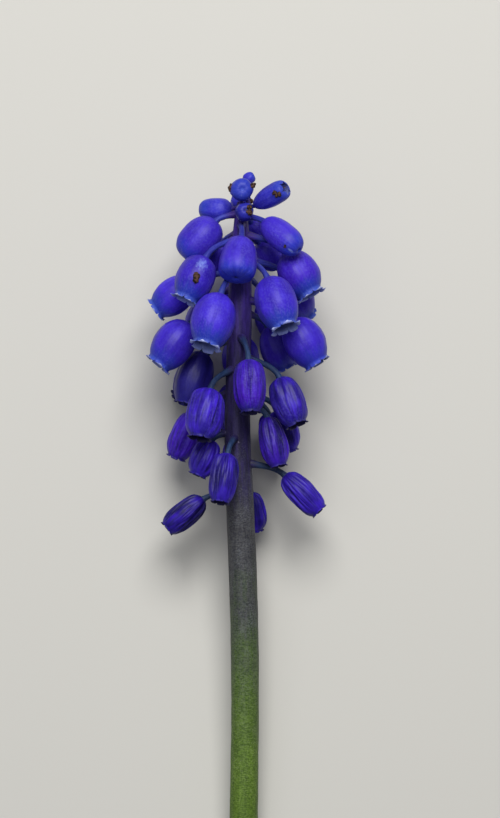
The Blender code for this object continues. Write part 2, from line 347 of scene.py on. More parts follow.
class Tree:
    """A node tree under construction, of geometry or of shading, with named inputs and outputs."""

    def __init__(self, group, entries=(), exits=()):
        self.group = group
        for in_out, named in (("INPUT", entries), ("OUTPUT", exits)):
            for name, kind in named:
                group.interface.new_socket(name=name, in_out=in_out, socket_type="NodeSocket" + kind)
        if entries:
            self.entries = group.nodes.new("NodeGroupInput").outputs
        if exits:
            self.exits = group.nodes.new("NodeGroupOutput").inputs

    def entry(self, name):
        return Field(self, self.entries[name])

    def feed(self, socket, value):
        if isinstance(value, Field):
            self.group.links.new(value.socket, socket)
        else:
            socket.default_value = value

    def add(self, kind, feeds=None, **settings):
        """Adds a node, sets its settings and feeds its sockets, which go by name or number."""
        made = self.group.nodes.new(kind)
        for name, value in settings.items():
            setattr(made, name, value)
        for name, value in (feeds or {}).items():
            self.feed(made.inputs[name], value)
        return made

    def get(self, kind, feeds=None, out=0, **settings):
        """The field that a new node gives."""
        return Field(self, self.add(kind, feeds, **settings).outputs[out])

    def vector(self, x, y, z):
        return self.get("ShaderNodeCombineXYZ", {0: x, 1: y, 2: z})

    def parts(self, vector):
        """The three parts of a vector, each a field."""
        return [Field(self, part) for part in self.add("ShaderNodeSeparateXYZ", {0: vector}).outputs]

    def times(self, vector, factor):
        """A vector made longer or shorter."""
        return self.get("ShaderNodeVectorMath", {0: vector, "Scale": factor}, operation="SCALE")

    def shape(self, kind, geometry, **feeds):
        """What a node of geometry, whose first input is a shape, makes of one."""
        return self.get("GeometryNode" + kind, {0: geometry, **feeds})

    def raised(self, shape, height):
        """A shape with each of its points moved by a height, the way it faces."""
        lift = self.times(self.get("GeometryNodeInputNormal"), height)
        return self.shape("SetPosition", shape, Offset=lift)

    def ends_in(self, shape, finish=None, where=True):
        """Gives a shape out, shaded smooth, with its copies realised and its finish set last."""
        shape = self.shape("RealizeInstances", self.shape("SetShadeSmooth", shape))
        if finish:
            shape = self.shape("SetMaterial", shape, Selection=where, Material=finish)
        self.feed(self.exits["Shape"], shape)
        return self

    def curve(self, factor, points):
        """A smooth curve through points whose coordinates run from 0 to 1."""
        made = self.add("ShaderNodeFloatCurve", {"Value": factor})
        line = made.mapping.curves[0]
        line.points[0].location = points[0]
        line.points[1].location = points[-1]
        for point in points[1:-1]:
            line.points.new(*point)
        for point in line.points:
            point.handle_type = "AUTO"
        made.mapping.update()
        return Field(self, made.outputs[0])

    def keep(self, geometry, name, value, kind="FLOAT"):
        """Stores a value on every point under a name that the finishes read."""
        return self.get("GeometryNodeStoreNamedAttribute",
                        {"Geometry": geometry, "Name": name, "Value": value}, data_type=kind, domain="POINT")

    def read(self, name, kind="FLOAT"):
        """What is stored under a name on the points of a shape."""
        return self.get("GeometryNodeInputNamedAttribute", {"Name": name}, data_type=kind)

    def random(self, low, high, number, seed):
        """A random number for each whole number."""
        return self.get("FunctionNodeRandomValue", {2: low, 3: high, "ID": number, "Seed": seed}, out=1)


def sockets(kind, *names):
    """Sockets of one kind, for a tree's inputs or outputs."""
    return [(name, kind) for name in names]


def shape_tree(name, *entries):
    """An empty tree of geometry, whose one output is the shape that it makes."""
    return Tree(bpy.data.node_groups.new(name, "GeometryNodeTree"), entries, sockets("Geometry", "Shape"))


def new_piece(name, mesh):
    piece = bpy.data.objects.new(name, mesh)
    bpy.context.scene.collection.objects.link(piece)
    return piece


def grown(name, tree, sizes, mesh=None, place=Matrix()):
    """A piece that a tree makes, its sizes set before it is first evaluated, as a plain mesh in its place."""
    piece = new_piece(name, mesh or bpy.data.meshes.new(name))
    modifier = piece.modifiers.new("shape", "NODES")
    modifier.node_group = tree.group
    for item in tree.group.interface.items_tree:
        if item.in_out == "INPUT" and item.name in sizes:
            modifier[item.identifier] = sizes[item.name]
    bpy.context.view_layer.update()
    shape = bpy.data.meshes.new_from_object(piece.evaluated_get(bpy.context.evaluated_depsgraph_get()))
    piece.modifiers.clear()
    shape.name = name
    shape.transform(place)
    piece.data = shape
    return piece


def join_plant(piece, slot, *nodes):
    """Makes a piece part of the flower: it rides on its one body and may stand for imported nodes."""
    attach(piece, "root")
    if nodes:
        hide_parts(*nodes)


# Finishes


def colour(red, green, blue, gain=1.0):
    """A colour from its display values of 0 to 255, and how much brighter it is made."""
    shares = [value / 255 for value in (red, green, blue)]
    return tuple(gain * (share / 12.92 if share <= 0.04045 else ((share + 0.055) / 1.055) ** 2.4)
                 for share in shares) + (1.0,)


def blend(tree, share, low, high):
    """One colour fading into another. Each is a field or the values that "colour" takes."""
    low, high = (tint if isinstance(tint, Field) else colour(*tint) for tint in (low, high))
    return tree.get("ShaderNodeMix", {0: share, 6: low, 7: high}, out=2, data_type="RGBA")


def layered(tree, skin, *layers):
    """A colour with others laid over it one by one, each by its share."""
    for share, tint in layers:
        skin = blend(tree, share, skin, tint)
    return skin


def scaled(tree, place, across, along):
    """A place stretched by one factor across the grain and another along it."""
    return tree.get("ShaderNodeVectorMath", {0: place, 1: (across, across, along)}, operation="MULTIPLY")


def noise(tree, place, scale, detail=2.0):
    return tree.get("ShaderNodeTexNoise", {"Vector": place, "Scale": scale, "Detail": detail})


def grain_group():
    """Fine streaks and thin creases along the grain, as flower and stem skin has.

    Grain is a place in millimetres.
    """
    tree = Tree(bpy.data.node_groups.new("skin grain", "ShaderNodeTree"),
                sockets("Vector", "Grain") + sockets("Float", "Fineness", "Stretch"),
                sockets("Float", "Streaks", "Height", "Creases"))
    x, y, z = tree.parts(tree.entry("Grain"))
    fineness, stretch = tree.entry("Fineness"), tree.entry("Stretch")
    drawn = tree.vector(x, y, z / stretch)
    wide = noise(tree, drawn, fineness, 3.0)
    fine = noise(tree, drawn, fineness * 3.1)
    streaks = (wide * 0.6 + fine * 0.4).between(0.35, 0.68)
    tree.feed(tree.exits["Streaks"], streaks)
    tree.feed(tree.exits["Height"], wide * 0.5 + fine * 0.5)
    uneven = noise(tree, tree.vector(x, y, z / (stretch * 1.5)), fineness * 0.6) - 0.5
    lines = 1.0 - (uneven.op("ABSOLUTE") * 18.0).op("MINIMUM", 1.0)
    tree.feed(tree.exits["Creases"], lines * noise(tree, tree.entry("Grain"), 0.45, 1.0).between(0.40, 0.62))
    return tree.group


def bloom_group():
    """The thin pale wax on the skin, in patches of fine speckles."""
    tree = Tree(bpy.data.node_groups.new("waxy bloom", "ShaderNodeTree"),
                sockets("Color", "Colour", "Wax") + sockets("Vector", "Grain")
                + sockets("Float", "Fineness", "Amount"),
                sockets("Color", "Colour") + sockets("Float", "Cover"))
    grain, fineness = tree.entry("Grain"), tree.entry("Fineness")
    speckle = noise(tree, grain, fineness).between(0.42, 0.66)
    patch = noise(tree, grain, fineness * 0.09).between(0.30, 0.75)
    cover = speckle * (patch * 0.7 + 0.3) * tree.entry("Amount")
    tree.feed(tree.exits["Colour"], blend(tree, cover, tree.entry("Colour"), tree.entry("Wax")))
    tree.feed(tree.exits["Cover"], cover)
    return tree.group


BRIGHTER_STREAKS = 1.3
SKIN_GRAIN = grain_group()
WAXY_BLOOM = bloom_group()


def new_finish(name, roughness, gloss=0.5):
    """A material with its tree and its shader, whose roughness and gloss are the same all over it."""
    made = bpy.data.materials.new(name)
    made.use_nodes = True
    shader = made.node_tree.nodes["Principled BSDF"]
    shader.inputs["Roughness"].default_value = roughness
    shader.inputs["Specular IOR Level"].default_value = gloss
    return made, Tree(made.node_tree), shader


def stored(tree, name, out="Fac"):
    """A value that the piece's own tree stored on its points."""
    return tree.get("ShaderNodeAttribute", out=out, attribute_name=name)


def bump(tree, shader, height, strength, distance):
    made = tree.add("ShaderNodeBump", {"Height": height, "Strength": strength, "Distance": distance})
    tree.group.links.new(made.outputs["Normal"], shader.inputs["Normal"])


def grain_of(tree, place, fineness, stretch):
    """The streaks, height and creases of the skin's grain."""
    grain = tree.add("ShaderNodeGroup", {"Grain": place, "Fineness": fineness, "Stretch": stretch},
                     node_tree=SKIN_GRAIN)
    return [Field(tree, socket) for socket in grain.outputs]


def waxed(tree, skin, place, wax, fineness, amount):
    """The skin's colour under its wax, and how much of the skin the wax covers."""
    bloom = tree.add("ShaderNodeGroup", {"Colour": skin, "Wax": wax, "Grain": place,
                                         "Fineness": fineness, "Amount": amount}, node_tree=WAXY_BLOOM)
    return [Field(tree, socket) for socket in bloom.outputs]


def petal_finish(name, petals):
    """The skin of a bell: bluer towards the mouth, with pale or darkened teeth, painted shade in its folds
    and creases, and painted highlights and pale marks where they are listed.
    """
    made, tree, shader = new_finish(name, 0.5, 0.22)
    body, deep, mouth, lobe, margin, edge = petals[:6]
    along = stored(tree, "along")
    rim = stored(tree, "rim")
    age = stored(tree, "age")
    grain_place = stored(tree, "grain", "Vector")
    streaks, height, creases = grain_of(tree, grain_place, 2.4, 6.0)
    patches = noise(tree, grain_place, 0.6)
    depth = streaks * 0.26 + stored(tree, "tone") * 0.45 + patches.between(0.34, 0.66) * 0.36
    depth = depth + age * petals.aging
    ragged = (streaks - 0.5) * 0.14 + (patches - 0.5) * 0.25
    bluer = (along + ragged).between(petals.mouth_from, petals.mouth_from + 0.32)
    at_lobes = (along + ragged).between(petals.lobe_from, petals.lobe_from + 0.3)
    creases = creases * petals.creased
    # The listed pale marks, most of them painted highlights, made ragged by noise
    pale_mark_and_highlight = (stored(tree, "pale_mark_and_highlight") * 1.3 - noise(tree, grain_place, 3.2, 3.0)).between(-0.05, 0.55)
    skin = layered(
        tree, body,
        (depth.op("MINIMUM", 1.0), deep),
        (stored(tree, "redder") * (along * 0.6 + 0.3), (72, 12, 186)),
        (bluer * (1.0 - age * 0.8), mouth),
        (at_lobes * (1.0 - age), lobe),
        ((rim + ragged * 1.6).between(0.42, 1.00) * (1.0 - age), margin),
        (rim.between(0.2, 0.9) * age, edge),
        (rim.between(0.93, 1.0) * 0.6, edge),
        # Painted shade: the folds, creases and notches are darkened to the deep tone
        ((stored(tree, "crease") + creases * 0.7).op("MINIMUM", 1.0), deep),
        # Painted highlights and a pale slit, at the listed marks
        (pale_mark_and_highlight * 0.8, (120, 138, 214)))
    skin, cover = waxed(tree, skin, grain_place, colour(132, 134, 232), 5.0, 0.12 - age * 0.09)
    tree.feed(shader.inputs["Base Color"], skin)
    tree.feed(shader.inputs["Roughness"], cover * 0.5 + 0.42)
    bump(tree, shader, height + cover * 1.5 + patches * 3.0 - creases * 3.0, 0.6, 0.03 * MM)
    return made


def stem_finish():
    """The stem's skin: green at the cut, dark purple in the head, with slate stalks and speckled wax."""
    made, tree, shader = new_finish("stem", 0.5, 0.22)
    height = stored(tree, "height")
    grain_place = stored(tree, "grain", "Vector")
    streaks, grain_height, _ = grain_of(tree, grain_place, 3.0, 8.0)
    across = noise(tree, scaled(tree, grain_place, 3.4, 11.0), 1.0).between(0.36, 0.64)
    drift = (noise(tree, grain_place, 0.30) - 0.5) * 14.0 + (streaks - 0.5) * 5.0
    green = blend(tree, streaks * 0.35 + across * 0.65, (50, 76, 14), (98, 126, 46))
    grey = blend(tree, streaks * 0.45 + across * 0.55, (38, 37, 47), (72, 73, 74))
    dark = blend(tree, streaks, (25, 19, 54), (46, 37, 88))
    violet = blend(tree, streaks, (44, 26, 104), (66, 44, 140))
    slate = blend(tree, streaks, (22, 38, 72), (42, 66, 106))
    blue = blend(tree, streaks, (38, 40, 136), (56, 64, 168))
    aside, upward, _ = tree.parts(grain_place)
    from_middle = (aside ** 2.0 + upward ** 2.0).op("SQRT")
    pith = blend(tree, from_middle.between(0.85, 1.35), (150, 162, 104), (70, 88, 42))
    skin = layered(
        tree, green,
        ((height + drift).between(24.0, 46.0), grey),
        ((height + drift * 0.4).between(49.0, 57.0), dark),
        ((height + drift * 0.2).between(63.0, 74.0), violet),
        (stored(tree, "stalk"), blend(tree, height.between(66.0, 77.0), slate, blue)),
        (1.0 - height.between(0.0, 0.06), pith))
    wax = blend(tree, height.between(20.0, 44.0), (156, 172, 110), (136, 142, 150))
    amount = (1.0 - height.between(50.0, 60.0)) * 0.19 + 0.05
    skin, cover = waxed(tree, skin, grain_place, wax, 7.0, amount)
    tree.feed(shader.inputs["Base Color"], skin)
    tree.feed(shader.inputs["Roughness"], cover * 0.4 + 0.52)
    bump(tree, shader, grain_height * 0.6 + across * 0.4, 0.5, 0.04 * MM)
    return made


def inner_finish(name, *tints):
    """The dull inside of an open bell: its throat, its lobes, their margins, and its lobes when aged."""
    made, tree, shader = new_finish(name, 0.6, 0.25)
    throat, lobe, margin, aged_lobe = tints
    streaks = noise(tree, scaled(tree, stored(tree, "grain", "Vector"), 1.0, 0.15), 3.0)
    pale = stored(tree, "rim").between(0.50, 1.0)
    lobes = blend(tree, stored(tree, "age"), blend(tree, pale, lobe, margin), aged_lobe)
    skin = blend(tree, stored(tree, "along").between(0.60, 1.0), throat, lobes)
    skin = blend(tree, streaks.between(0.4, 0.7) * 0.35, skin, (*throat, BRIGHTER_STREAKS))
    tree.feed(shader.inputs["Base Color"], skin)
    bump(tree, shader, streaks, 0.4, 0.03 * MM)
    return made


def rough_finish(name, light, dark, fineness, roughness):
    """A dull, mottled finish for the smallest pieces, by their place on the flower in millimetres."""
    made, tree, shader = new_finish(name, roughness, 0.25)
    mottle = noise(tree, tree.times(tree.get("ShaderNodeTexCoord", out=3), 1 / MM), fineness, 3.0)
    tree.feed(shader.inputs["Base Color"], blend(tree, mottle.between(0.35, 0.65), dark, light))
    bump(tree, shader, mottle, 0.7, 0.04 * MM)
    return made


# The tones of each kind of bell, in display values of 0 to 255: its body, its deeper tone for darker patches
# and for the painted shade in its folds, its mouth, its lobes, their margins and their very edge. Then how
# far along the mouth's and the lobes' tones start, how dark the creases' painted shade is and how far age
# deepens the body.
Petals = namedtuple("Petals", "body deep mouth lobe margin edge mouth_from lobe_from creased aging")
DARK_EDGE = (18, 15, 60)
PETALS = {
    "bud": Petals((52, 50, 186), (32, 22, 128), (42, 56, 172), (46, 62, 176), (60, 80, 190), DARK_EDGE,
                  0.55, 1.1, 0.12, 0.5),
    "closed_bell": Petals((64, 44, 196), (42, 25, 146), (40, 54, 184), (66, 84, 196), DARK_EDGE,
                          DARK_EDGE, 0.62, 0.96, 0.12, 0.5),
    "open_bell": Petals((63, 41, 202), (38, 21, 138), (38, 54, 172), (58, 80, 178), (130, 146, 208),
                        (52, 60, 140), 0.58, 0.84, 0.12, 0.5),
    "faded_bell": Petals((66, 36, 208), (14, 8, 76), (34, 26, 138), (32, 26, 100), (24, 20, 76),
                         DARK_EDGE, 0.72, 0.92, 0.60, 0.25),
    # Painted shade: darker copies of an open bell's tones, for the shadow of the bells over this one, besides
    # its age
    "spent_shaded_bell": Petals((40, 34, 138), (22, 16, 84), (34, 36, 122), (30, 26, 90), (24, 20, 76),
                         DARK_EDGE, 0.62, 0.86, 0.12, 0.25),
}
FINISHES = {name: petal_finish(name, petals) for name, petals in PETALS.items()}
FINISHES.update({
    "stem": stem_finish(),
    # Painted light: the lobes and margins are pale of their own, and the throat, lobe and margin tones are
    # all set lighter still, so the shaded mouth looks lit through its thin petals
    "inside": inner_finish("bell_inside", (90, 94, 190), (136, 150, 216), (190, 200, 244), (30, 28, 92)),
    "faded_inside": inner_finish("faded_inside", (22, 16, 66), (30, 26, 80), (30, 26, 80), (26, 22, 70)),
    "anther": rough_finish("anther", (122, 92, 62), (46, 30, 26), 9.0, 0.8),
    "filament": rough_finish("filament", (110, 112, 190), (70, 66, 150), 4.0, 0.5),
    "pistil": rough_finish("pistil", (96, 120, 96), (58, 78, 92), 3.0, 0.45),
    "withered": rough_finish("withered", (88, 62, 50), (14, 10, 10), 5.0, 0.85),
    "scale": rough_finish("scale", (130, 124, 146), (70, 64, 92), 6.0, 0.6),
    "opened_bud": FINISHES["bud"],
    "blunt_bell": FINISHES["closed_bell"],
})


# Bells

WALL_SHARE = 0.72  # the share of a toothed bell's rows that lie below its teeth
FIRST_LEAN = -0.62  # how a tooth leans where it starts, in radians, less than 0 for inwards
COLLAR_SHARE = 0.40  # the share of a tooth that bows gently, before it curls back
CRINKLE = 0.30  # how much the teeth waver, as a share of their length
BEYOND_LAST_ROW = 1.0001  # a little over the share of all rows, for the teeth's outermost points
WELD = 0.0005 * MM  # points closer than this are made one

# How each kind of bell is made. Teeth, folds and bend are in millimetres on a bell 4 mm wide; creases is how
# dark the painted shade in its folds is.
Look = namedtuple("Look", "teeth curl tip_curl ridges folds creases lumps bend sides rows")
LOOKS = {
    "bud": Look(0.0, 0.0, 0.0, 0.010, 0.05, 0.05, 0.34, 0.00, 60, 30),
    "opened_bud": Look(0.90, -0.9, -1.2, 0.020, 0.06, 0.40, 0.08, 0.00, 72, 36),
    "closed_bell": Look(0.0, 0.0, 0.0, 0.008, 0.04, 0.35, 0.10, 0.10, 84, 44),
    "blunt_bell": Look(0.0, 0.0, 0.0, 0.008, 0.03, 0.25, 0.08, 0.00, 84, 44),
    "open_bell": Look(0.80, 1.6, 5.4, 0.012, 0.04, 0.25, 0.13, 0.12, 108, 44),
    "spent_shaded_bell": Look(0.72, 1.5, 5.0, 0.012, 0.06, 0.30, 0.16, 0.12, 108, 44),
    "faded_bell": Look(0.62, 1.4, 4.6, 0.025, 0.25, 0.70, 0.34, 0.10, 108, 40),
}


def chord_shares(outline):
    """How far along a bell's side each point of its outline is, from 0 to 1."""
    steps = [math.hypot((b[0] - a[0]) * 2.5, b[1] - a[1]) for a, b in zip(outline, outline[1:])]
    return [sum(steps[:i]) / sum(steps) for i in range(len(outline))]


def bell_tree(look, toothed):
    """The wall of one kind of bell as a sheet wound round the axis, from the base to the teeth.

    A toothed wall ends in six lobes that curl out and back. The other kind closes over the tip.
    """
    tree = shape_tree(
        look, *sockets("Float", "Length", "Half Width", "Tooth Length", "Tooth Curl", "Tip Curl",
                       "Ridge Depth", "Fold Depth", "Crease Shade", "Lumps", "Bend", "Widest Low", "Age",
                       "Redder", "Thickness"),
        *sockets("Int", "Sides", "Rows", "Seed"), *sockets("Material", "Finish", "Inner Finish"))
    entry = tree.entry
    length, half = entry("Length"), entry("Half Width")
    seed = entry("Seed")
    sheet = tree.add("GeometryNodeMeshGrid", {0: 1.0, 1: 1.0, 2: entry("Sides") + 1.0,
                                              3: entry("Rows") + 1.0})
    sideways, lengthways, _ = tree.parts(tree.get("GeometryNodeInputPosition"))
    around = sideways + 0.5
    upward = lengthways + 0.5
    angle = around * math.tau
    cosine, sine = angle.op("COSINE"), angle.op("SINE")
    wall_share = WALL_SHARE if toothed else 1.0
    wall = (upward / wall_share).op("MINIMUM", 1.0)
    tooth = ((upward - wall_share) / (BEYOND_LAST_ROW - wall_share)).op("MAXIMUM", 0.0)

    outline = OUTLINES[look]
    shares = chord_shares(outline)
    along = tree.curve(wall, [(share, point[0]) for share, point in zip(shares, outline)])
    across = tree.curve(wall ** entry("Widest Low"),
                        [(share, point[1]) for share, point in zip(shares, outline)])

    # Six ridges, one to each tooth, over irregular lengthwise folds, fine wrinkles and lumps
    seed_place = seed * 3.7

    def uneven(scale, climb):
        place = tree.vector(cosine, sine, wall * climb + seed_place)
        return noise(tree, place, scale, 1.0)

    held = (wall * math.pi).op("SINE").between(0.0, 0.7)
    valley = (1.0 - uneven(1.7, 0.45).between(0.36, 0.54)) * held
    wrinkle = (1.0 - ((uneven(5.2, 0.22) - 0.5).op("ABSOLUTE") * 11.0).op("MINIMUM", 1.0)) * held
    ridge = (angle * TEETH).op("COSINE")
    from_tooth = ((around * TEETH + 0.5).op("FRACT") - 0.5).op("ABSOLUTE") * 2.0
    swelling = entry("Ridge Depth") * ridge + entry("Lumps") * (uneven(0.9, 1.6) - 0.5)
    radius = half * across * (swelling * held + 1.0)
    radius = radius - entry("Fold Depth") * (valley + wrinkle * 0.4)
    rise = along * length
    # Painted shade: the valleys of the folds and the wrinkles are darkened by the crease shade
    crease = (valley * 0.7 + wrinkle * 0.6) * entry("Crease Shade")

    if toothed:
        number = (around * TEETH + 0.5).op("FLOOR").op("MODULO", float(TEETH))
        own_length = entry("Tooth Length") * tree.random(0.8, 1.15, number, seed)
        own_curl = entry("Tooth Curl") * tree.random(0.6, 1.3, number, seed + 31.0)
        own_tip_curl = entry("Tip Curl") * tree.random(0.70, 1.15, number, seed + 57.0)
        lobe = (1.0 - from_tooth ** 2.4) ** 0.6
        point = (1.0 - from_tooth * 3.5).op("MAXIMUM", 0.0)
        reach = own_length * (lobe * 0.60 + point * 0.10 + 0.30) * tooth

        # The collar bows gently as one arc, and each lobe beyond it curls back as a tighter one
        collar = own_length * COLLAR_SHARE
        turn = own_curl / own_length * reach.op("MINIMUM", collar) + FIRST_LEAN
        tip_turn = own_tip_curl / own_length * (reach - collar).op("MAXIMUM", 0.0) + turn
        radius = radius + (math.cos(FIRST_LEAN) - turn.op("COSINE")) * own_length / own_curl
        radius = radius + (turn.op("COSINE") - tip_turn.op("COSINE")) * own_length / own_tip_curl
        rise = rise + (turn.op("SINE") - math.sin(FIRST_LEAN)) * own_length / own_curl
        rise = rise + (tip_turn.op("SINE") - turn.op("SINE")) * own_length / own_tip_curl
        radius = radius + (uneven(7.0, 0.0) - 0.5) * (tooth * own_length * CRINKLE)
        # The notches between the teeth are darkened too, as painted shade
        notch = from_tooth.between(0.84, 1.0) * tooth.between(0.0, 0.4)
        crease = crease.op("MAXIMUM", notch * 0.5)
        rim = tooth * (lobe * 0.3 + point * 0.3 + 0.4)
    else:
        # Painted shade: the pleats where a closed mouth meets are pressed in and darkened by the same crease
        # shade, which also sets how far they are pressed in
        notch = from_tooth.between(0.72, 1.0) * along.between(0.80, 0.98)
        radius = radius - half * notch * across * entry("Crease Shade") * 0.20
        crease = crease.op("MAXIMUM", notch * entry("Crease Shade"))
        rim = wall.between(0.94, 0.98)

    aside = entry("Bend") * wall * wall
    place = tree.vector(radius * cosine, radius * sine - aside, rise)
    grain = tree.vector(cosine * half / MM, sine * half / MM,
                        (along + tooth * 0.15) * length / MM + seed_place)
    shape = Field(tree, sheet.outputs["Mesh"])
    for name, value in (("along", along + tooth), ("rim", rim), ("crease", crease),
                        ("tone", tree.random(-0.5, 0.5, seed, 7)), ("age", entry("Age")),
                        ("redder", entry("Redder"))):
        shape = tree.keep(shape, name, value)
    shape = tree.keep(shape, "grain", grain, "FLOAT_VECTOR")
    shape = tree.shape("SetPosition", shape, Position=place)
    shape = tree.shape("MergeByDistance", shape, Distance=WELD)
    return lined(tree, shape) if toothed else tree.ends_in(shape, entry("Finish"))


def lined(tree, shape):
    """Ends a tree in a wall with its thickness, less on the lobes, and with the inner finish inside."""
    shape = tree.shape("SetMaterial", shape, Material=tree.entry("Finish"))
    inward = tree.times(tree.get("GeometryNodeInputNormal"), -1.0)
    thickness = tree.entry("Thickness") * (1.0 - tree.read("along").between(0.9, 1.8) * 0.6)
    lining = tree.add("GeometryNodeExtrudeMesh", {"Mesh": shape, "Offset": inward,
                                                  "Offset Scale": thickness, "Individual": False})
    inner = tree.shape("FlipFaces", Field(tree, lining.outputs["Mesh"]))
    both = tree.shape("MergeByDistance", joined(tree, shape, inner), Distance=WELD)
    return tree.ends_in(both, tree.entry("Inner Finish"), Field(tree, lining.outputs["Top"]))


def build_bells():
    """One fine bell for each packed one."""
    trees = {name: bell_tree(name, look.teeth > 0) for name, look in LOOKS.items()}
    for number, bell in enumerate(BELLS):
        look = LOOKS[bell.look]
        size = bell.half_width / 2 * MM
        inside = "faded_inside" if bell.stage == "faded_bell" else "inside"
        piece = grown("petals_" + bell.node, trees[bell.look], {
            "Length": bell.length * MM, "Half Width": bell.half_width * MM,
            "Tooth Length": look.teeth * (1 - TEETH_LOST * bell.age) * size, "Tooth Curl": look.curl,
            "Tip Curl": look.tip_curl, "Ridge Depth": look.ridges,
            "Fold Depth": look.folds * (0.5 + bell.age) * size, "Crease Shade": look.creases,
            "Lumps": look.lumps, "Bend": look.bend * size,
            "Widest Low": WIDEST_LOW.get(bell.node, 1.0), "Age": bell.age,
            "Redder": REDDER.get(bell.node, 0.0), "Thickness": WALL_THICKNESS * MM,
            "Sides": look.sides, "Rows": look.rows, "Seed": number + 1,
            "Finish": FINISHES[bell.look], "Inner Finish": FINISHES[inside]}, place=bell.place())
        join_plant(piece, bell.stage, bell.node)


# Stem and stalks


def stalk_course(bell):
    """A stalk's middle line and radii in the plant frame, in millimetres, from the stem to its bell."""
    radius = STALK_RADIUS if bell.dimpled else BUD_STALK_RADIUS
    end = bell.base + bell.axis * (STALK_SUNK if bell.dimpled else BUD_STALK_SUNK)
    height = end.y
    sideways = end - stem_middle(height)
    sideways.y = 0.0
    around = math.degrees(math.atan2(sideways.x, sideways.z))
    reach = max(sideways.length - smooth_course(2, height), LEAST_REACH)
    droop = math.degrees(math.asin(max(-1.0, min(1.0, -bell.axis.y))))
    root_height = min(height + reach * math.tan(math.radians(droop * SAG_SHARE)), HIGHEST_ROOT)
    stem_radius = smooth_course(2, root_height)
    middle = stem_middle(root_height)
    root = middle + outward(around) * stem_radius
    pull = (end - root).length
    falling = math.radians(droop * LEAVING_SHARE)
    leave = (outward(around) * math.cos(falling) - Vector((0.0, math.sin(falling), 0.0))) * pull
    arrive = bell.axis * pull
    line = [middle + outward(around) * stem_radius * ROOT_DEPTH]
    radii = [radius * (1 + STALK_FLARE)]
    for i in range(STALK_POINTS + 1):
        t = i / STALK_POINTS
        line.append(eased(root, end, leave, arrive, t))
        radii.append(radius * (STALK_SLIMMED + STALK_FLARE * (1 - t) ** 4 + STALK_CUP * t ** 8))
    return line, radii


def path_mesh(name, courses):
    """Middle lines as chains of edges, in metres, each point with its radius."""
    mesh = bpy.data.meshes.new(name)
    points, edges, radii = [], [], []
    for line, widths in courses:
        first = len(points)
        points += [point * MM for point in line]
        radii += [width * MM for width in widths]
        edges += [(first + i, first + i + 1) for i in range(len(line) - 1)]
    mesh.from_pydata(points, edges, [])
    thickness = mesh.attributes.new("thickness", "FLOAT", "POINT")
    thickness.data.foreach_set("value", radii)
    return mesh


def tube_tree():
    """Tubes along middle lines, with a skin that swells a little at random."""
    tree = shape_tree("tubes", ("Lines", "Geometry"), *sockets("Int", "Sides", "Rings"),
                      *sockets("Float", "Is Stalk", "Swelling", "Flutes"), ("Finish", "Material"))
    thickness = tree.read("thickness")
    lines = tree.shape("MeshToCurve", tree.entry("Lines"))
    lines = tree.get("GeometryNodeCurveSplineType", {"Curve": lines}, spline_type="CATMULL_ROM")
    lines = tree.shape("ResampleCurve", lines, Count=tree.entry("Rings"))
    lines = tree.keep(lines, "travelled", tree.get("GeometryNodeSplineParameter", out="Length"))
    round_ring = tree.get("GeometryNodeCurvePrimitiveCircle",
                          {"Resolution": tree.entry("Sides"), "Radius": 1.0})
    ring_share = tree.get("GeometryNodeSplineParameter", out="Factor")
    round_ring = tree.keep(round_ring, "turn", ring_share * math.tau)
    skin = tree.get("GeometryNodeCurveToMesh", {"Curve": lines, "Profile Curve": round_ring,
                                                "Scale": thickness, "Fill Caps": True})
    turn, travelled = tree.read("turn"), tree.read("travelled")
    rise = tree.parts(tree.get("GeometryNodeInputPosition"))[1]
    skin = tree.keep(skin, "height", rise / MM)
    skin = tree.keep(skin, "stalk", tree.entry("Is Stalk") * (travelled / MM).between(0.55, 1.7))
    girth = thickness / MM
    skin = tree.keep(skin, "grain", tree.vector(turn.op("COSINE") * girth, turn.op("SINE") * girth,
                                                travelled / MM), "FLOAT_VECTOR")
    swell = noise(tree, scaled(tree, tree.read("grain", "FLOAT_VECTOR"), 1.0, 0.35), 1.0, 1.0) - 0.5
    flutes = (turn * 13.0).op("COSINE") * tree.entry("Flutes")
    return tree.ends_in(tree.raised(skin, swell * tree.entry("Swelling") + flutes), tree.entry("Finish"))


def build_stem():
    """The stem with its stalks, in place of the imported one."""
    tubes = tube_tree()
    heights = [STEM_COURSE[-1][0] * i / STEM_POINTS for i in range(STEM_POINTS + 1)]
    stem_line = ([stem_middle(height) for height in heights],
                 [smooth_course(2, height) for height in heights])
    stalks = grown("stalks", tubes, {
        "Sides": 20, "Rings": 34, "Is Stalk": 1.0, "Swelling": 0.05 * MM, "Flutes": 0.0,
        "Finish": FINISHES["stem"]}, path_mesh("stalks", [stalk_course(bell) for bell in BELLS]), PLANT)
    stem = grown("stem_skin", tubes, {
        "Sides": 72, "Rings": 260, "Is Stalk": 0.0, "Swelling": 0.10 * MM, "Flutes": 0.008 * MM,
        "Finish": FINISHES["stem"]}, path_mesh("stem_skin", [stem_line]), PLANT)
    both = bmesh.new()
    both.from_mesh(stem.data)
    both.from_mesh(stalks.data)
    both.to_mesh(stem.data)
    both.free()
    bpy.data.objects.remove(stalks)
    join_plant(stem, "stem", "stem")


# Small pieces


def scatter(name, slot, tree, rows, **sizes):
    """Copies of a tree's part as one piece, a row each: place in the plant frame, aim and extent."""
    mesh = bpy.data.meshes.new(name)
    mesh.from_pydata([PLANT @ (place * MM) for place, _, _ in rows], [], [])
    for column, title in ((1, "aim"), (2, "extent")):
        store = mesh.attributes.new(title, "FLOAT_VECTOR", "POINT")
        store.data.foreach_set("vector", [number for row in rows for number in row[column]])
    join_plant(grown(name, tree, sizes, mesh), slot)


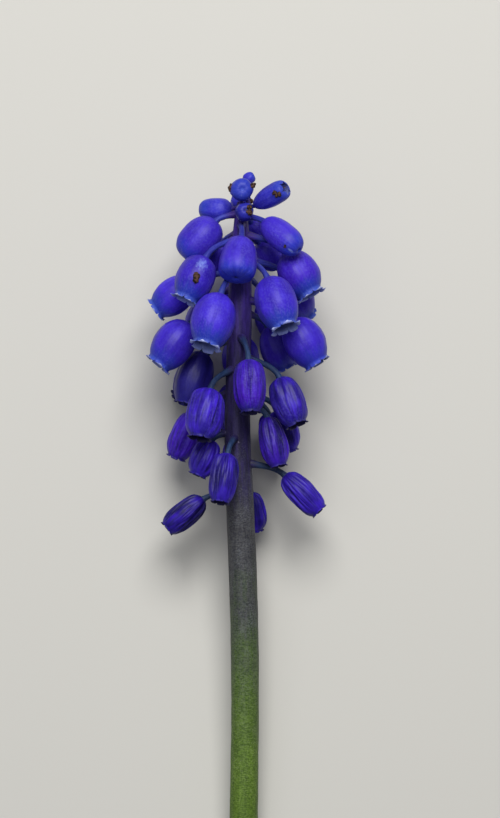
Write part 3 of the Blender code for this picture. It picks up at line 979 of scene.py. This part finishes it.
def blob(tree, sizes, place, fineness=2):
    """An egg-shaped lump of three half sizes, in millimetres like its place."""
    ball = tree.get("GeometryNodeMeshIcoSphere", {"Radius": MM, "Subdivisions": fineness})
    return tree.shape("Transform", ball, Translation=[part * MM for part in place], Scale=sizes)


def stick(tree, low, high, radius):
    """A thin straight rod along Z between two heights, in millimetres."""
    rod = tree.get("GeometryNodeMeshCylinder",
                   {"Vertices": 8, "Radius": radius * MM, "Depth": (high - low) * MM})
    return tree.shape("Transform", rod, Translation=(0.0, 0.0, (low + high) / 2 * MM))


def joined(tree, *parts):
    both = tree.add("GeometryNodeJoinGeometry")
    for part in parts:
        tree.feed(both.inputs[0], part)
    return Field(tree, both.outputs[0])


def on_points(tree, part):
    """Puts a copy of a part on every point, its Z along "aim" and its sizes times "extent"."""
    turn = tree.get("FunctionNodeAlignRotationToVector", {"Vector": tree.read("aim", "FLOAT_VECTOR")},
                    axis="Z")
    spin = tree.random(0.0, math.tau, tree.get("GeometryNodeInputIndex"), tree.entry("Seed"))
    turn = tree.get("FunctionNodeRotateRotation", {
        "Rotation": turn, "Rotate By": tree.get("FunctionNodeAxisAngleToRotation", {"Angle": spin})},
        rotation_space="LOCAL")
    return tree.get("GeometryNodeInstanceOnPoints", {
        "Points": tree.entry("Points"), "Instance": part, "Rotation": turn,
        "Scale": tree.read("extent", "FLOAT_VECTOR")})


def stamen_tree():
    """A stamen: a thin stalk with two brown pollen sacs."""
    tree = shape_tree("stamen", ("Points", "Geometry"), ("Seed", "Int"),
                      *sockets("Material", "Anther", "Filament"))
    sacs = joined(tree, *[blob(tree, (0.10, 0.11, 0.24), (aside, 0.0, 0.0)) for aside in (-0.08, 0.08)])
    sacs = tree.shape("SetMaterial", sacs, Material=tree.entry("Anther"))
    thread = stick(tree, -1.1, -0.1, 0.05)
    thread = tree.shape("SetMaterial", thread, Material=tree.entry("Filament"))
    return tree.ends_in(on_points(tree, joined(tree, sacs, thread)))


def pistil_tree():
    """A pistil: a three-sided seed case with its style and tip."""
    tree = shape_tree("pistil", ("Points", "Geometry"), ("Seed", "Int"), ("Finish", "Material"))
    thirds = [math.tau * k / 3 for k in range(3)]
    cells = [blob(tree, (0.34, 0.34, 0.66), (0.2 * math.cos(turn), 0.2 * math.sin(turn), 0.0), 3)
             for turn in thirds]
    style = stick(tree, 0.3, 1.6, 0.08)
    tip = blob(tree, (0.14, 0.14, 0.10), (0.0, 0.0, 1.62))
    return tree.ends_in(on_points(tree, joined(tree, style, tip, *cells)), tree.entry("Finish"))


def crumpled_tree():
    """Small lumps with an uneven, crumpled skin."""
    tree = shape_tree("crumpled", ("Points", "Geometry"), *sockets("Float", "Crumple", "Fineness"),
                      ("Seed", "Int"), ("Finish", "Material"))
    ball = tree.get("GeometryNodeMeshIcoSphere", {"Radius": 1.0, "Subdivisions": 4})
    copies = tree.shape("RealizeInstances", on_points(tree, ball))
    uneven = noise(tree, tree.times(tree.get("GeometryNodeInputPosition"), 1 / MM), tree.entry("Fineness"))
    return tree.ends_in(tree.raised(copies, (uneven - 0.5) * tree.entry("Crumple")), tree.entry("Finish"))


def in_world(direction):
    """A direction of the plant frame as the floor has it."""
    return (PLANT.to_3x3() @ direction).normalized()


def build_stamens():
    """Six stamens round a pistil inside every bell that is open."""
    stamens, pistils = [], []
    for number, bell in enumerate(BELLS):
        if not LOOKS[bell.look].teeth:
            continue
        extent = (bell.half_width / 2,) * 3
        for k in range(STAMENS):
            angle = math.tau * (k + 0.5) / STAMENS
            spoke = bell.level * math.cos(angle) + bell.beside * math.sin(angle)
            reach = STAMEN_REACH[bell.look] + STAMEN_UNEVEN * ((k * 2 + number) % 3 - 1)
            place = bell.base + bell.axis * bell.length * reach + spoke * bell.half_width * STAMEN_RING
            stamens.append((place, in_world(bell.axis - spoke * STAMEN_LEAN), extent))
        middle = bell.base + bell.axis * bell.length * PISTIL_REACH
        pistils.append((middle, in_world(bell.axis), extent))
    scatter("stamens", "open_bell", stamen_tree(), stamens, Seed=5, Anther=FINISHES["anther"],
            Filament=FINISHES["filament"])
    scatter("pistils", "open_bell", pistil_tree(), pistils, Seed=6, Finish=FINISHES["pistil"])


def build_scales():
    """A tiny pale scale beside each stalk where it leaves the stem."""
    rows = []
    for number, bell in enumerate(BELLS):
        if not bell.dimpled:
            continue
        root = stalk_course(bell)[0][1]
        away = (root - stem_middle(root.y)).normalized()
        beside = UP.cross(away)
        side = 1 if number % 3 else -1
        turned = (away + beside * side * SCALE_ASIDE).normalized()
        share = 0.6 + 0.4 * (number * 7 % 5) / 4
        middle = stem_middle(root.y) + UP * (SCALE_RISE - SCALE_STEP * (number % 3))
        extent = [half_size * share * MM for half_size in SCALE_HALF_SIZES]
        rows.append((middle + turned * smooth_course(2, root.y), in_world(turned), extent))
    scatter("scales", "stem", CRUMPLED, rows, Crumple=0.10 * MM, Fineness=6.0, Seed=3,
            Finish=FINISHES["scale"])


def front_of(x, height):
    """What the camera sees at a place: the point, in millimetres, the way it faces and its piece."""
    start = PLANT @ (Vector((x, height, ABOVE_ALL)) * MM)
    towards = in_world(Vector((0.0, 0.0, -1.0)))
    hits = []
    for piece in bpy.context.scene.objects:
        if piece.type == "MESH" and piece.name.startswith(("petals_", "stem_skin")):
            found, place, facing, _ = piece.ray_cast(start, towards)
            if found:
                hits.append(((place - start).length, place, facing, piece))
    _, place, facing, piece = min(hits, key=lambda hit: hit[0])
    return INTO_PLANT @ place / MM, facing, piece


def build_highlights_and_pale_marks():
    """Marks the painted highlights and pale marks on the bells, where the photo shows them."""
    bpy.context.view_layer.update()
    for x, height, half_width, half_length, lean, strength in HIGHLIGHTS_AND_PALE_MARKS:
        place, _, piece = front_of(x, height)
        mesh = piece.data
        store = mesh.attributes.get("pale_mark_and_highlight") or mesh.attributes.new("pale_mark_and_highlight", "FLOAT", "POINT")
        values = [mark.value for mark in store.data]
        leaning = Matrix.Rotation(math.radians(lean), 3, "Z")
        for number, vertex in enumerate(mesh.vertices):
            apart = leaning @ (INTO_PLANT @ vertex.co / MM - place)
            distance = math.hypot(apart.x / half_width, apart.y / half_length, apart.z / HIGHLIGHT_MARK_DEPTH)
            values[number] = max(values[number], strength * max(0.0, 1.0 - distance ** 2))
        store.data.foreach_set("value", values)


def build_scraps():
    """The withered brown scraps near the tip and on two bells, where the photo shows them."""
    bpy.context.view_layer.update()
    rows = []
    for x, height, wide, long, thick in SCRAPS:
        place, facing, _ = front_of(x, height)
        rows.append((place, facing, (wide * MM / 2, long * MM / 2, thick * MM / 2)))
    scatter("withered_scraps", "bud", CRUMPLED, rows, Crumple=0.45 * MM, Fineness=3.6, Seed=9,
            Finish=FINISHES["withered"])


CRUMPLED = crumpled_tree()
build_bells()
build_stem()
build_stamens()
build_scales()
build_highlights_and_pale_marks()
build_scraps()


# Floor, light and camera

FLOOR_HALF_SIZE = 1.5
FLOOR_TONE = (200, 199, 194)

# Soft lights: name, place in the plant frame in millimetres, size in metres, power in watts and tint
LIGHTS = (
    ("key", (20, 280, 320), 0.26, 1.75, (1.0, 0.985, 0.96)),
    ("fill", (-120, 60, 340), 0.30, 0.2, (0.95, 0.97, 1.0)),
)
LIT_PLACE = (0, 62, 0)
SKY_TINT, SKY_STRENGTH = (0.93, 0.95, 1.0, 1.0), 0.13

# The photo's view, in millimetres: the drift and height of its middle, the height that it shows, how far
# away the camera is and the height of its sensor
VIEW_DRIFT, VIEW_HEIGHT, SEEN_HEIGHT = 1.0, 60.9, 81.8
CAMERA_DISTANCE, SENSOR_HEIGHT = 600.0, 36.0


def build_floor(level):
    """The pale floor that the flower lies on, at its lowest point."""
    half = FLOOR_HALF_SIZE
    corners = [(-half, -half, level), (half, -half, level), (half, half, level), (-half, half, level)]
    mesh = bpy.data.meshes.new("floor")
    mesh.from_pydata(corners, [], [(0, 1, 2, 3)])
    finish, _, shader = new_finish("floor", 0.9)
    shader.inputs["Base Color"].default_value = colour(*FLOOR_TONE)
    mesh.materials.append(finish)
    new_piece("floor", mesh)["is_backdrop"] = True


def build_light(name, place, size, power, tint):
    """A soft round light that shines on the head."""
    light = bpy.data.lights.new(name, "AREA")
    light.shape = "DISK"
    light.size = size
    light.energy = power
    light.color = tint
    lamp = new_piece(name, light)
    start, end = PLANT @ (Vector(place) * MM), PLANT @ (Vector(LIT_PLACE) * MM)
    lamp.matrix_world = Matrix.Translation(start) @ (start - end).to_track_quat("Z", "Y").to_matrix().to_4x4()


def build_camera():
    """A camera that sees the flower as the photo does, straight down on its front."""
    lens = bpy.data.cameras.new("camera")
    lens.sensor_fit = "VERTICAL"
    lens.sensor_height = SENSOR_HEIGHT
    lens.lens = SENSOR_HEIGHT * CAMERA_DISTANCE / SEEN_HEIGHT
    lens.clip_start = 0.01
    camera = new_piece("camera", lens)
    camera.matrix_world = PLANT @ Matrix.Translation(Vector((VIEW_DRIFT, VIEW_HEIGHT, CAMERA_DISTANCE)) * MM)
    bpy.context.scene.camera = camera


def build_sky():
    """The even, dim light from all round."""
    world = bpy.data.worlds.new("studio")
    world.use_nodes = True
    background = world.node_tree.nodes["Background"].inputs
    background["Color"].default_value = SKY_TINT
    background["Strength"].default_value = SKY_STRENGTH
    bpy.context.scene.world = world


build_floor(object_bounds()[0][2])
for lamp in LIGHTS:
    build_light(*lamp)
build_camera()
build_sky()
bpy.context.scene.view_settings.view_transform = "Standard"
